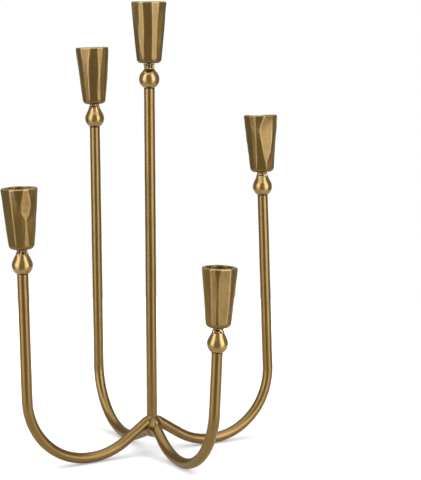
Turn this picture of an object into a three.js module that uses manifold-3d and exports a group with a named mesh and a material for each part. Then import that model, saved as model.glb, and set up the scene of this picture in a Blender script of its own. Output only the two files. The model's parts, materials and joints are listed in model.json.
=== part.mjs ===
// Tabletop candelabra: a straight centre stem and four J-shaped arms of bent tube, welded at a low hub,
// each tube carrying a drop-shaped collar and a faceted cast cup for a taper candle.
// Millimetres, +Z up. The origin is on the stem's axis, on the surface that the four bends rest on.

import * as THREE from 'three';
import { mergeVertices } from 'three/addons/utils/BufferGeometryUtils.js';
import Module from 'manifold-3d';

const wasm = await Module();
wasm.setup();

// ---- driving dimensions ----

const SEAM = 0.3; // clearance between pieces that touch

// bent tube
const TUBE_D = 10; // across the flats of its outer section
const TUBE_WALL = 1.2;
const HUB_HEIGHT = 34.2; // where the arms' axes meet the stem's axis, and where the stem's tube ends
const FOOT_FLAT = 2.4; // straight length at the bottom of each bend, which the arm stands on

// hub core: the slug under the stem that the arm ends are coped to
const CORE_DROP = 10; // length of core that shows below the stem
const CORE_SPIGOT = 10; // length of the spigot up into the stem
const HUB_ROOM = 0.9; // share of the room before the hub that an arm's inner bend may take

// collar: a ball drawn up into a neck
const COLLAR_D = 18.9;
const COLLAR_HEIGHT = 22;
const COLLAR_LIP = 0.4; // the collar's flat underside stands this far proud of the tube
const COLLAR_NECK_D = 8.6;
const ARM_NECK = 1.5; // straight neck above the shoulder, on the arms' collars
const STEM_NECK = 4.7; // and on the stem's collar, which shows a slim neck

// candle cup
const RIM_WALL = 4.6; // from the socket's mouth to the corners of the facets
const WAIST_WALL = 5.95; // from the well to the corners of the facets, just above the bottom bevel
const CUP_FOOT_D = 13.6; // flat underside, across its corners
const CUP_BEVEL = 5; // height of the bottom bevel
const SOCKET_MOUTH_D = 23; // takes a standard taper candle
const SOCKET_TAPER = 1.4; // the socket's seat is narrower than its mouth by this much
const SOCKET_DEPTH = 26;
const WELL_D = 12; // bore below the seat, down to the screw's head
const FLOOR = 7; // metal left under the well

// screw from the cup's floor into the tapped insert in the tube's end
const SCREW_D = 4;
const SCREW_LENGTH = 40;
const HEAD_D = 8;
const HEAD_HEIGHT = 2.6;
const DRIVE_ACROSS = 2.5; // hexagon socket in the head
const DRIVE_DEPTH = 1.6;
const INSERT_LENGTH = 12;

// The stem and its arms. Arms of a pair share a reach (stem axis to riser axis at the foot's end of the
// bend) and a bend radius. They are bent and welded by hand, so each swings, leans in and leans aside a
// little, and each cup has its own height, hand-cut facets and lean on its collar: outwards, then aside.
// Angles are in degrees.
const LONG_REACH = 130.8;
const LONG_BEND = 64.2;
const SHORT_REACH = 118;
const SHORT_BEND = 59.5;
const STEM_TOP = 348.4; // height of the stem tube's upper end
const ARMS = [
  { side: 'left', turn: 180, reach: LONG_REACH, bend: LONG_BEND, top: 184.2,
    swing: 3.3, leanIn: -0.74, leanAside: -0.45,
    cup: { height: 55.2, facets: 8, facetTurn: 10, lean: [0.7, -0.4] } },
  { side: 'front', turn: 270, reach: SHORT_REACH, bend: SHORT_BEND, top: 118.4,
    swing: -0.35, leanIn: -0.36, leanAside: 2.75,
    cup: { height: 53.6, facets: 8, facetTurn: 24, lean: [-0.6, -1] } },
  { side: 'right', turn: 0, reach: LONG_REACH, bend: LONG_BEND, top: 240.8,
    swing: -0.6, leanIn: 0.42, leanAside: 2.73,
    cup: { height: 56, facets: 9, facetTurn: 5, lean: [0, 0] } },
  { side: 'back', turn: 90, reach: SHORT_REACH, bend: SHORT_BEND, top: 306.9,
    swing: 0.15, leanIn: -0.1, leanAside: 0.2,
    cup: { height: 56.1, facets: 9, facetTurn: 18, lean: [0.6, 1.2] } },
];
const STEM_CUP = { height: 56.6, facets: 9, facetTurn: 31, lean: [0, 0] };

// fineness of the facets
const TUBE_SIDES = 16;
const BORE_SIDES = 12;
const ROUND_SIDES = 24;
const BEND_STEP = 8; // degrees of bend between two sections

// ---- values that follow ----

const TUBE_R = TUBE_D / 2;
const TUBE_BORE_R = TUBE_R - TUBE_WALL;
const PLUG_R = TUBE_BORE_R - SEAM;
const HOLE_R = SCREW_D / 2 + SEAM;
const COLLAR_FOOT_R = TUBE_R + COLLAR_LIP;
const CUP_TOP_R = SOCKET_MOUTH_D / 2 + RIM_WALL;
const CUP_WAIST_R = WELL_D / 2 + WAIST_WALL;
const CUP_BASE = SEAM + COLLAR_HEIGHT + SEAM; // height of the cup's underside above the tube's end
const HEAD_SEAT = CUP_BASE + FLOOR + SEAM;
const radians = THREE.MathUtils.degToRad;

// ---- finishes ----

const brass = (color, roughness) => new THREE.MeshStandardMaterial({ color, roughness, metalness: 1 });
const finishes = {
  tube: brass(0x8c6a35, 0.38),
  cup: brass(0xa07c40, 0.3),
  collar: brass(0x9a763c, 0.3),
  fixing: brass(0xb0a890, 0.45),
};

// ---- shape helpers ----

/** Corner radius of a regular polygon that measures `across` from flat to flat. */
function cornerRadius(across, sides) {
  return across / 2 / Math.cos(Math.PI / sides);
}

/** Points of a regular polygon with flats facing +X and, for an even half count, +Y. */
function polygon(across, sides) {
  const radius = cornerRadius(across, sides);
  return Array.from({ length: sides }, (_, k) => {
    const angle = ((k + 0.5) * 2 * Math.PI) / sides;
    return new THREE.Vector2(radius * Math.cos(angle), radius * Math.sin(angle));
  });
}

/** Solid of revolution about Z. The profile is a list of [radius, height], from axis to axis, upwards. */
function turned(profile, sides = ROUND_SIDES) {
  const points = profile.map(([radius, height]) => new THREE.Vector2(radius, height));
  return new THREE.LatheGeometry(points, sides).rotateX(Math.PI / 2);
}

/** Geometry to a manifold solid. */
function solidOf(geometry) {
  const bare = geometry.index ? geometry.toNonIndexed() : geometry.clone();
  bare.deleteAttribute('normal');
  bare.deleteAttribute('uv');
  const merged = mergeVertices(bare, 1e-4);
  const corners = merged.index.array;
  const kept = [];
  for (let i = 0; i < corners.length; i += 3) {
    const [a, b, c] = corners.slice(i, i + 3);
    if (a !== b && b !== c && c !== a) kept.push(a, b, c);
  }
  return new wasm.Manifold(new wasm.Mesh({
    numProp: 3,
    vertProperties: Float32Array.from(merged.attributes.position.array),
    triVerts: Uint32Array.from(kept),
  }));
}

/** Manifold solid back to a geometry. */
function geometryOf(solid) {
  const mesh = solid.getMesh();
  const geometry = new THREE.BufferGeometry();
  geometry.setAttribute('position', new THREE.BufferAttribute(mesh.vertProperties, 3));
  geometry.setIndex(new THREE.BufferAttribute(mesh.triVerts, 1));
  geometry.computeVertexNormals();
  return geometry;
}

/** Named mesh, added to its group. */
function addMesh(group, name, geometry, material) {
  const mesh = new THREE.Mesh(geometry, material);
  mesh.name = name;
  group.add(mesh);
  return mesh;
}

/** Curve through listed sections, each a point and a direction, with one extrusion step between two. */
class SectionPath extends THREE.Curve {
  constructor(sections) {
    super();
    this.sections = sections;
  }

  at(t) {
    return this.sections[Math.round(t * (this.sections.length - 1))];
  }

  getPoint(t, target = new THREE.Vector3()) {
    return target.copy(this.at(t).point);
  }

  getPointAt(u, target) {
    return this.getPoint(u, target);
  }

  getTangent(t, target = new THREE.Vector3()) {
    return target.copy(this.at(t).direction);
  }

  getTangentAt(u, target) {
    return this.getTangent(u, target);
  }
}

/** Tube through the sections of a path. */
function tubeAlong(sections) {
  const shape = new THREE.Shape(polygon(TUBE_D, TUBE_SIDES));
  shape.holes.push(new THREE.Path(polygon(2 * TUBE_BORE_R, BORE_SIDES)));
  return new THREE.ExtrudeGeometry(shape, {
    steps: sections.length - 1,
    extrudePath: new SectionPath(sections),
  });
}

// ---- arms ----

/**
 * Sections of one arm in its own frame, X outwards from the stem and Z up: a straight run down from the
 * hub, tangent to the inner bend, that bend down to the foot flat, the outer bend up from it, and the
 * straight riser. The inner bend has the outer one's radius, or a smaller one where the hub is too near
 * for it. Past the foot the arm leans aside in proportion to its height.
 */
function armSections(arm) {
  const outer = arm.reach - arm.bend; // where the outer bend starts
  const inner = outer - FOOT_FLAT; // where the inner bend ends
  const drop = HUB_HEIGHT - TUBE_R;
  const widest = (inner * inner + drop * drop) / (2 * drop); // this radius would leave no straight run
  const innerRadius = Math.min(arm.bend, HUB_ROOM * widest);
  const below = innerRadius - drop; // from the hub up to the inner bend's centre
  const slope = Math.asin(innerRadius / Math.hypot(inner, below)) - Math.atan2(below, inner);
  const aside = Math.tan(radians(arm.leanAside));
  const section = (x, z, angle, lean) => ({
    point: new THREE.Vector3(x, lean * (z - TUBE_R), z),
    direction: new THREE.Vector3(Math.cos(angle), lean * Math.sin(angle), Math.sin(angle)).normalize(),
  });
  const bendSections = (centre, radius, from, to, lean) => {
    const count = Math.ceil(Math.abs(to - from) / radians(BEND_STEP));
    return Array.from({ length: count + 1 }, (_, k) => {
      const angle = from + ((to - from) * k) / count;
      const x = centre + radius * Math.sin(angle);
      return section(x, TUBE_R + radius * (1 - Math.cos(angle)), angle, lean);
    });
  };
  const innerBend = bendSections(inner, innerRadius, -slope, 0, 0);
  const outerBend = bendSections(outer, arm.bend, 0, Math.PI / 2 + radians(arm.leanIn), aside);
  const end = outerBend.at(-1);
  const run = (arm.top - end.point.z) / end.direction.z;
  const tip = { point: end.point.clone().addScaledVector(end.direction, run), direction: end.direction };
  const start = section(0, HUB_HEIGHT, -slope, 0);
  return [start, ...innerBend, ...outerBend, tip];
}

/** Everything nearer to this arm's own quarter than to the next arms', short of the seam between them. */
function quarterPrism(arm) {
  const far = 2 * arm.reach;
  const near = SEAM / Math.SQRT2;
  const shape = new THREE.Shape([
    new THREE.Vector2(near, 0),
    new THREE.Vector2(far, near - far),
    new THREE.Vector2(far, far - near),
  ]);
  const tall = 2 * arm.top;
  const prism = new THREE.ExtrudeGeometry(shape, { depth: tall, bevelEnabled: false });
  return prism.translate(0, 0, -TUBE_D).rotateZ(-radians(arm.swing));
}

/** Column that the arm ends are coped to, as wide as the stem and its clearance. */
function copeColumn() {
  const radius = cornerRadius(2 * (cornerRadius(TUBE_D, TUBE_SIDES) + SEAM), ROUND_SIDES);
  return turned([[0, -TUBE_D], [radius, -TUBE_D], [radius, STEM_TOP], [0, STEM_TOP]]);
}

/** Bent tube with its hub end mitred to its neighbours and coped to the stem. */
function armTube(arm, sections) {
  const tube = solidOf(tubeAlong(sections));
  const mitred = tube.intersect(solidOf(quarterPrism(arm)));
  return geometryOf(mitred.subtract(solidOf(copeColumn())));
}

// ---- what each tube carries; heights are above the tube's end ----

/**
 * Collar: a ball cut flat below, with a straight shoulder tangent to the ball up to a neck. Where the
 * neck's foot falls inside the ball there is no shoulder, and the neck rises straight out of the ball.
 */
function collarProfile(neckLength) {
  const ball = COLLAR_D / 2;
  const neck = COLLAR_NECK_D / 2;
  const centre = Math.sqrt(ball * ball - COLLAR_FOOT_R * COLLAR_FOOT_R);
  const rise = COLLAR_HEIGHT - neckLength - centre; // from the ball's centre to the neck's foot
  const distance = Math.hypot(neck, rise);
  const hasShoulder = distance > ball;
  const from = -Math.acos(COLLAR_FOOT_R / ball);
  const to = hasShoulder ? Math.atan2(rise, neck) - Math.acos(ball / distance) : Math.acos(neck / ball);
  const steps = 8;
  const arc = Array.from({ length: steps + 1 }, (_, k) => {
    const angle = from + ((to - from) * k) / steps;
    return [ball * Math.cos(angle), centre + ball * Math.sin(angle)];
  });
  const shoulder = hasShoulder ? [[neck, centre + rise]] : [];
  return [...arc, ...shoulder, [neck, COLLAR_HEIGHT]];
}

/** Collar with the screw's hole through it: its profile closes on itself. */
function collar(neckLength) {
  const outside = collarProfile(neckLength);
  const profile = [[HOLE_R, 0], ...outside, [HOLE_R, COLLAR_HEIGHT], [HOLE_R, 0]];
  return turned(profile).translate(0, 0, SEAM);
}

/** Faceted cup outside, as one solid. */
function cupBlank(height, facets) {
  return turned([
    [0, 0],
    [CUP_FOOT_D / 2, 0],
    [CUP_WAIST_R, CUP_BEVEL],
    [CUP_TOP_R, height],
    [0, height],
  ], facets);
}

/** What is bored out of the cup: screw hole, well and tapered candle socket. */
function cupBores(height) {
  const seat = height - SOCKET_DEPTH;
  const mouth = SOCKET_MOUTH_D / 2;
  const taper = SOCKET_TAPER / 2;
  const above = 1;
  return turned([
    [0, -above],
    [HOLE_R, -above],
    [HOLE_R, FLOOR],
    [WELL_D / 2, FLOOR],
    [WELL_D / 2, seat],
    [mouth - taper, seat],
    [mouth + (taper * above) / SOCKET_DEPTH, height + above],
    [0, height + above],
  ]);
}

/** Cup with its bores, standing on its own underside. */
function candleCup({ height, facets, facetTurn }) {
  const blank = solidOf(cupBlank(height, facets).rotateZ(radians(facetTurn)));
  return geometryOf(blank.subtract(solidOf(cupBores(height))));
}

/** Socket-headed screw, its head on the cup's floor. */
function cupScrew() {
  const crown = 0.7;
  const blank = turned([
    [0, -SCREW_LENGTH],
    [SCREW_D / 2, -SCREW_LENGTH],
    [SCREW_D / 2, 0],
    [HEAD_D / 2, 0],
    [HEAD_D / 2, HEAD_HEIGHT - crown],
    [HEAD_D / 2 - crown, HEAD_HEIGHT],
    [0, HEAD_HEIGHT],
  ]);
  const corner = cornerRadius(DRIVE_ACROSS, 6);
  const floor = HEAD_HEIGHT - DRIVE_DEPTH;
  const drive = turned([[0, floor], [corner, floor], [corner, HEAD_HEIGHT + 1], [0, HEAD_HEIGHT + 1]], 6);
  return geometryOf(solidOf(blank).subtract(solidOf(drive))).translate(0, 0, HEAD_SEAT);
}

/** Tapped plug, flush inside the tube's end. */
function tubeInsert() {
  return turned([
    [HOLE_R, -INSERT_LENGTH],
    [PLUG_R, -INSERT_LENGTH],
    [PLUG_R, 0],
    [HOLE_R, 0],
    [HOLE_R, -INSERT_LENGTH],
  ]);
}

/** Group at a tube's end, turned so that its Z runs on along the tube, with all that the tube carries. */
function candleStation(side, tip, neckLength, cup) {
  const station = new THREE.Group();
  station.position.copy(tip.point);
  station.quaternion.setFromUnitVectors(new THREE.Vector3(0, 0, 1), tip.direction);
  addMesh(station, `tube_insert_${side}`, tubeInsert(), finishes.fixing);
  addMesh(station, `collar_${side}`, collar(neckLength), finishes.collar);
  const candleCupMesh = addMesh(station, `candle_cup_${side}`, candleCup(cup), finishes.cup);
  candleCupMesh.position.z = CUP_BASE;
  const [outwards, aside] = cup.lean.map(radians);
  candleCupMesh.rotation.set(-aside, outwards, 0);
  addMesh(station, `cup_screw_${side}`, cupScrew(), finishes.fixing);
  return station;
}

// ---- assembly ----

/** Hub core: a slug below the stem with a spigot up inside it. */
function hubCore() {
  const crown = 1;
  const shoulder = HUB_HEIGHT - SEAM;
  const bottom = shoulder - CORE_DROP;
  return turned([
    [0, bottom],
    [TUBE_R - crown, bottom],
    [TUBE_R, bottom + crown],
    [TUBE_R, shoulder],
    [PLUG_R, shoulder],
    [PLUG_R, HUB_HEIGHT + CORE_SPIGOT],
    [0, HUB_HEIGHT + CORE_SPIGOT],
  ]);
}

/** Centre stem: one straight tube. */
function stemSections() {
  const direction = new THREE.Vector3(0, 0, 1);
  return [HUB_HEIGHT, STEM_TOP].map((z) => ({ point: new THREE.Vector3(0, 0, z), direction }));
}

const candelabra = new THREE.Group();

addMesh(candelabra, 'hub_core', hubCore(), finishes.tube);
const stem = stemSections();
addMesh(candelabra, 'stem_tube', tubeAlong(stem), finishes.tube);
candelabra.add(candleStation('stem', stem.at(-1), STEM_NECK, STEM_CUP));

for (const arm of ARMS) {
  const group = new THREE.Group();
  group.rotation.z = radians(arm.turn + arm.swing);
  const sections = armSections(arm);
  addMesh(group, `arm_tube_${arm.side}`, armTube(arm, sections), finishes.tube);
  group.add(candleStation(arm.side, sections.at(-1), ARM_NECK, arm.cup));
  candelabra.add(group);
}

export default candelabra;
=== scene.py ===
"""Looks of a tabletop candelabra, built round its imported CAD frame.

A straight centre stem and four J-shaped arms of bent brass tube meet in a low welded hub. Every tube
carries a drop-shaped collar and a hand-faceted cast cup for a taper candle, held by a screw down its well.

Lengths in the dataclasses are in millimetres and angles in degrees; meshes are written in metres.
Azimuths are measured about +Z from +X towards +Y.
"""

import json
import logging
import math
from dataclasses import dataclass, field
from enum import Enum

import bpy
import numpy as np
from mathutils import Matrix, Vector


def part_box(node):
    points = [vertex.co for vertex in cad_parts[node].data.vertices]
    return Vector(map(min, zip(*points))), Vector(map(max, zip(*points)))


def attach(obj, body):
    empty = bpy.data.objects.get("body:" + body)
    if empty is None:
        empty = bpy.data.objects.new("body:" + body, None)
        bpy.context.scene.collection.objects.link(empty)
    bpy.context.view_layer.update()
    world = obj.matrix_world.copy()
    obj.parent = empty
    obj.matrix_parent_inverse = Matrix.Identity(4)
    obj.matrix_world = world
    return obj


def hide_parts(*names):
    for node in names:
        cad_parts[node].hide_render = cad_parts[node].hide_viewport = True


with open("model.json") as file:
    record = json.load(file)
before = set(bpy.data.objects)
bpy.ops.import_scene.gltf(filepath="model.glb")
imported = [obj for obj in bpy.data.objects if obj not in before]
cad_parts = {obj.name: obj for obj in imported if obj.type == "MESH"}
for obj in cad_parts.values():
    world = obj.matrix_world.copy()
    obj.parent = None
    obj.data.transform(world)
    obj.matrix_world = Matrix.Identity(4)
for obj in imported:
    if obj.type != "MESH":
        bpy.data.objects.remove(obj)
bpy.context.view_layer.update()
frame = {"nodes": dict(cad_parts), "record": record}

LOG = logging.getLogger("candelabra")
MM = 0.001
BODY = "root"
STEM_SUNK = 1.0  # the stem's tube runs this far down past its CAD node's end

Array = np.ndarray
Triple = tuple[float, float, float]
Colour = Triple


# ---- arrays ----


def unit(vectors: Array) -> Array:
    """Vectors scaled to length one along the last axis."""
    return vectors / np.linalg.norm(vectors, axis=-1, keepdims=True)


def ease(share: Array) -> Array:
    """Smooth step from 0 to 1: 3t^2 - 2t^3, with t held between 0 and 1."""
    t = np.clip(share, 0.0, 1.0)
    return t * t * (3.0 - 2.0 * t)


def wander(points: Array, size: float, seed: int, waves: int = 8) -> Array:
    """Smooth irregularity of a hand-worked surface, roughly between -1 and 1.

    The sum of sine waves in seeded directions: each wave is sin(2 pi d . p / length + phase), with its
    length within a third of size.

    Args:
        points: places, with x, y, z on the last axis.
        size: typical length of a wave, in the points' own unit.
        seed: picks the directions, lengths and phases.
        waves: how many waves are added.

    Returns:
        One value for each place.
    """
    draw = np.random.default_rng(seed)
    directions = unit(draw.normal(size=(waves, 3)))
    lengths = size * draw.uniform(0.67, 1.33, waves)
    phases = draw.uniform(0.0, 2.0 * math.pi, waves)
    turns = points @ (directions * (2.0 * math.pi / lengths)[:, None]).T + phases
    return np.sin(turns).sum(-1) / math.sqrt(waves)


def soften(values: Array, reach: float) -> Array:
    """Values round a closed ring, averaged with a bell-shaped weight.

    Args:
        values: last axis runs once round the ring.
        reach: the bell's standard deviation, in columns.

    Returns:
        The softened values: the ring's Fourier series with each term k scaled by exp(-2 (pi k reach / n)^2).
    """
    count = values.shape[-1]
    terms = np.fft.rfft(values, axis=-1)
    order = np.arange(terms.shape[-1])
    return np.fft.irfft(terms * np.exp(-2.0 * (math.pi * order * reach / count) ** 2), count, axis=-1)


# ---- meshes ----


@dataclass
class Skin:
    """A closed surface on a grid. Columns run once round, counter-clockwise seen against the rows.

    Attributes:
        points: rows x columns x 3, in millimetres, in the part's frame.
        ring: True where the last row joins the first, as on a hollow tube; otherwise both ends are shut.
        marks: named values for each point, which the finishes read.
    """

    points: Array
    ring: bool = False
    marks: dict[str, Array] = field(default_factory=dict)

    def corners(self) -> Array:
        """Corner numbers of the quads between neighbouring rows and columns."""
        rows, columns = self.points.shape[:2]
        spans = rows if self.ring else rows - 1
        low = (np.arange(spans) * columns)[:, None]
        high = ((np.arange(spans) + 1) % rows * columns)[:, None]
        here = np.arange(columns)[None, :]
        after = (here + 1) % columns
        return np.stack([low + here, low + after, high + after, high + here], -1).reshape(-1, 4)

    def faces(self) -> list:
        """Quads, and for a surface with ends the two end polygons."""
        rows, columns = self.points.shape[:2]
        faces = self.corners().tolist()
        if not self.ring:
            first = np.arange(columns)
            faces.append(first[::-1].tolist())
            faces.append((first + (rows - 1) * columns).tolist())
        return faces

    def unrolled(self) -> Array:
        """UV of every quad corner: metres round the surface at its widest, and metres along the rows."""
        rows, columns = self.points.shape[:2]
        closed = np.concatenate([self.points, self.points[:1]])
        steps = np.linalg.norm(np.diff(closed, axis=0), axis=-1).mean(1)
        along = np.concatenate([[0.0], np.cumsum(steps)]) * MM
        around = np.linalg.norm(np.diff(self.points, axis=1, append=self.points[:, :1]), axis=-1)
        width = around.sum(1).max() * MM / columns
        spans = rows if self.ring else rows - 1
        v0 = np.repeat(along[:spans], columns)
        v1 = np.repeat(along[1:spans + 1], columns)
        u0 = np.tile(np.arange(columns) * width, spans)
        u1 = u0 + width
        return np.stack([u0, v0, u1, v0, u1, v1, u0, v1], -1).reshape(-1, 2)

    def piece(self, name: str) -> bpy.types.Object:
        """Object with this surface as a smooth mesh, its UV map and its marks."""
        mesh = bpy.data.meshes.new(name)
        mesh.from_pydata((self.points.reshape(-1, 3) * MM).tolist(), [], self.faces())
        mesh.polygons.foreach_set("use_smooth", np.ones(len(mesh.polygons), bool))
        uv = np.zeros((len(mesh.loops), 2), np.float32)
        quads = self.unrolled()
        uv[:len(quads)] = quads
        mesh.uv_layers.new(name="surface").data.foreach_set("uv", uv.ravel())
        for mark, values in self.marks.items():
            attribute = mesh.attributes.new(mark, "FLOAT", "POINT")
            attribute.data.foreach_set("value", values.astype(np.float32).ravel())
        mesh.update()
        made = bpy.data.objects.new(name, mesh)
        bpy.context.scene.collection.objects.link(made)
        return made


def fit_piece(made: bpy.types.Object, material: bpy.types.Material, slot: str, *nodes: str) -> None:
    """Dresses a piece, lets it ride on the body, and hides the CAD nodes that it stands for.

    Args:
        made: the finished piece.
        material: its finish.
        slot: the record's material slot; not used.
        nodes: the CAD nodes that it stands for.
    """
    made.data.materials.append(material)
    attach(made, BODY)
    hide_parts(*nodes)
    LOG.info("%s: %d faces, stands for %s", made.name, len(made.data.polygons), ", ".join(nodes))


@dataclass(frozen=True)
class Axes:
    """A place and three directions, which carry a shape from its own frame into the part's.

    Attributes:
        origin: in millimetres.
        across: direction of the shape's x.
        aside: direction of the shape's y.
        along: direction of the shape's z.
    """

    origin: Array
    across: Array
    aside: Array
    along: Array

    @classmethod
    def standing(cls, origin: Array, along: Array) -> "Axes":
        """Axes at a place, z along a direction and x as near to the part's +X as that allows."""
        along = unit(np.asarray(along, float))
        across = unit(np.array([1.0, 0.0, 0.0]) - along[0] * along)
        return cls(np.asarray(origin, float), across, np.cross(along, across), along)

    def place(self, x: Array, y: Array, z: Array) -> Array:
        """Points of the shape's frame in the part's."""
        return (
            self.origin
            + x[..., None] * self.across
            + y[..., None] * self.aside
            + z[..., None] * self.along
        )

    def polar(self, radius: Array, azimuth: Array, height: Array) -> Array:
        """Points given by distance from the axis, azimuth in radians and height."""
        radius, azimuth, height = np.broadcast_arrays(radius, azimuth, height)
        return self.place(radius * np.cos(azimuth), radius * np.sin(azimuth), height)


def round_angles(columns: int) -> Array:
    """Azimuths once round, in radians, evenly spaced."""
    return np.arange(columns) * (2.0 * math.pi / columns)


# ---- finishes ----


class Grain(Enum):
    """How a surface was worked, which sets the direction of its fine marks."""

    DRAWN = "drawn through a die, with fine lines along the tube"
    CAST = "sand cast, then filed and polished by hand"
    TURNED = "turned on a lathe, with fine lines round it"


class Graph:
    """Short calls for building a material's node graph."""

    def __init__(self, name: str) -> None:
        """Starts a material with an empty graph and its output."""
        self.material = bpy.data.materials.new(name)
        self.material.use_nodes = True
        self.tree = self.material.node_tree
        self.tree.nodes.clear()

    def node(self, kind: str, inputs: dict | None = None, **settings) -> bpy.types.Node:
        """New node.

        Args:
            kind: Blender's node type.
            inputs: socket name or number to a value, or to the output socket that feeds it.
            settings: the node's own properties.

        Returns:
            The node.
        """
        made = self.tree.nodes.new(kind)
        for key, value in settings.items():
            setattr(made, key, value)
        for key, value in (inputs or {}).items():
            if isinstance(value, bpy.types.NodeSocket):
                self.tree.links.new(value, made.inputs[key])
            else:
                made.inputs[key].default_value = value
        return made

    def noise(self, vector: bpy.types.NodeSocket, scale: float, detail: float = 3.0) -> bpy.types.NodeSocket:
        """Value of a noise texture."""
        made = self.node("ShaderNodeTexNoise", {"Vector": vector, "Scale": scale, "Detail": detail})
        return made.outputs["Fac"]

    def stretched(self, vector: bpy.types.NodeSocket, scale: Triple) -> bpy.types.NodeSocket:
        """Coordinates scaled differently along each axis."""
        return self.node("ShaderNodeMapping", {"Vector": vector, "Scale": scale}).outputs["Vector"]

    def ramp(self, value: bpy.types.NodeSocket, low: float, high: float, start: float = 0.0,
             end: float = 1.0) -> bpy.types.NodeSocket:
        """Value carried from low..high to start..end, and held there."""
        made = self.node("ShaderNodeMapRange", {
            "Value": value, "From Min": low, "From Max": high, "To Min": start, "To Max": end,
        })
        return made.outputs["Result"]

    def sum(self, first: bpy.types.NodeSocket, second: bpy.types.NodeSocket | float,
            operation: str = "ADD") -> bpy.types.NodeSocket:
        """Two values put together by a Math operation."""
        return self.node("ShaderNodeMath", {0: first, 1: second}, operation=operation).outputs[0]

    def blend(self, share: bpy.types.NodeSocket, first: bpy.types.NodeSocket | Colour,
              second: bpy.types.NodeSocket | Colour) -> bpy.types.NodeSocket:
        """Colour between first and second."""
        inputs = {0: share}
        for key, value in ((6, first), (7, second)):
            inputs[key] = value if isinstance(value, bpy.types.NodeSocket) else (*value, 1.0)
        return self.node("ShaderNodeMix", inputs, data_type="RGBA").outputs[2]


@dataclass(frozen=True)
class BrassFinish:
    """Antique brass: a brown-gold body, darker in clouds of patina and with painted shade in seams, creases
    and bores, brighter where hands rub it and with painted highlights on rims and braze lumps.

    Attributes:
        name: the material's name.
        grain: how the surface was worked.
        body: colour of the clean face.
        shade: colour of the patina, which the painted shade in seams and creases also draws towards.
        worn_and_glint: colour of rubbed edges, also painted as a highlight on cup rims and braze lumps.
        roughness: least and most roughness.
        mottle: size of the patina's clouds, in millimetres.
        relief: height of the fine marks, in millimetres.
        lacquer: weight of the clear lacquer.
        deep_shade: colour of the painted shade in the deepest seams, creases, pits and bores.
    """

    name: str
    grain: Grain
    body: Colour
    shade: Colour
    worn_and_glint: Colour
    roughness: tuple[float, float]
    mottle: float = 14.0
    relief: float = 0.004
    lacquer: float = 0.5
    deep_shade: Colour = (0.045, 0.026, 0.008)

    def fine_marks(self, graph: Graph, place: bpy.types.NodeSocket,
                   surface: bpy.types.NodeSocket) -> bpy.types.NodeSocket:
        """Height of the fine tool marks, between 0 and 1; each scale is so many marks to the metre."""
        if self.grain is Grain.DRAWN:
            return graph.noise(graph.stretched(surface, (2600.0, 45.0, 1.0)), 1.0, 2.0)
        if self.grain is Grain.TURNED:
            return graph.noise(graph.stretched(surface, (60.0, 2200.0, 1.0)), 1.0, 2.0)
        filed = graph.noise(graph.stretched(place, (900.0, 900.0, 120.0)), 1.0, 2.0)
        pitted = graph.noise(place, 420.0, 4.0)
        return graph.sum(filed, pitted, "MULTIPLY")

    def material(self) -> bpy.types.Material:
        """The finish as a material: patina by clouds, painted shade in seams and creases, rubbed edges with
        painted highlights, fine marks in the relief.
        """
        graph = Graph(self.name)
        coordinates = graph.node("ShaderNodeTexCoord")
        place = coordinates.outputs["Object"]
        surface = graph.node("ShaderNodeUVMap", uv_map="surface").outputs["UV"]
        wear_and_glint = graph.node("ShaderNodeAttribute", attribute_name="wear_and_glint").outputs["Fac"]
        painted_shade = graph.node("ShaderNodeAttribute", attribute_name="painted_shade").outputs["Fac"]
        clouds = graph.noise(place, 1000.0 / self.mottle, 5.0)
        marks = self.fine_marks(graph, place, surface)

        patina = graph.ramp(clouds, 0.35, 0.75)
        speckle = graph.ramp(graph.noise(place, 700.0, 3.0), 0.55, 0.75, 0.0, 0.35)
        # Painted shade: the attribute read above is high in seams, creases, pits and bores, and darkens the
        # colour there towards the patina and then near-black.
        dull = graph.sum(graph.sum(patina, speckle), painted_shade)
        held = graph.ramp(dull, 0.0, 1.4)
        colour = graph.blend(held, self.body, self.shade)
        # Rubbed edges lighten the colour; on cup rims and braze lumps the lighter colour is also a painted
        # highlight.
        colour = graph.blend(graph.ramp(wear_and_glint, 0.0, 1.0), colour, self.worn_and_glint)
        colour = graph.blend(graph.ramp(painted_shade, 0.3, 1.1), colour, self.deep_shade)

        low, high = self.roughness
        rough = graph.ramp(graph.sum(clouds, marks), 0.7, 1.4, low, high)
        rough = graph.sum(rough, graph.sum(painted_shade, 0.25, "MULTIPLY"))
        bump = graph.node("ShaderNodeBump", {
            "Height": marks, "Strength": 1.0, "Distance": self.relief * MM,
        })
        shader = graph.node("ShaderNodeBsdfPrincipled", {
            "Base Color": colour, "Metallic": 1.0, "Roughness": rough, "Normal": bump.outputs["Normal"],
            "Coat Weight": self.lacquer, "Coat Roughness": 0.18,
        })
        graph.node("ShaderNodeOutputMaterial", {"Surface": shader.outputs[0]})
        return graph.material


@dataclass(frozen=True)
class SteelFinish:
    """Plain zinc-plated steel of the hidden fixings, with a faint spangle.

    Attributes:
        name: the material's name.
        bright: the spangle's lighter grey.
        dull: its darker grey.
    """

    name: str = "zinc_steel"
    bright: Colour = (0.62, 0.61, 0.58)
    dull: Colour = (0.42, 0.41, 0.39)

    def material(self) -> bpy.types.Material:
        """The finish as a material: two greys by a cell pattern, and roughness by a noise."""
        graph = Graph(self.name)
        place = graph.node("ShaderNodeTexCoord").outputs["Object"]
        cells = graph.node("ShaderNodeTexVoronoi", {"Vector": place, "Scale": 600.0}).outputs["Color"]
        tone = graph.node("ShaderNodeSeparateColor", {0: cells}).outputs[0]
        shader = graph.node("ShaderNodeBsdfPrincipled", {
            "Base Color": graph.blend(tone, self.bright, self.dull), "Metallic": 1.0,
            "Roughness": graph.ramp(graph.noise(place, 900.0), 0.3, 0.7, 0.3, 0.5),
        })
        graph.node("ShaderNodeOutputMaterial", {"Surface": shader.outputs[0]})
        return graph.material


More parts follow.
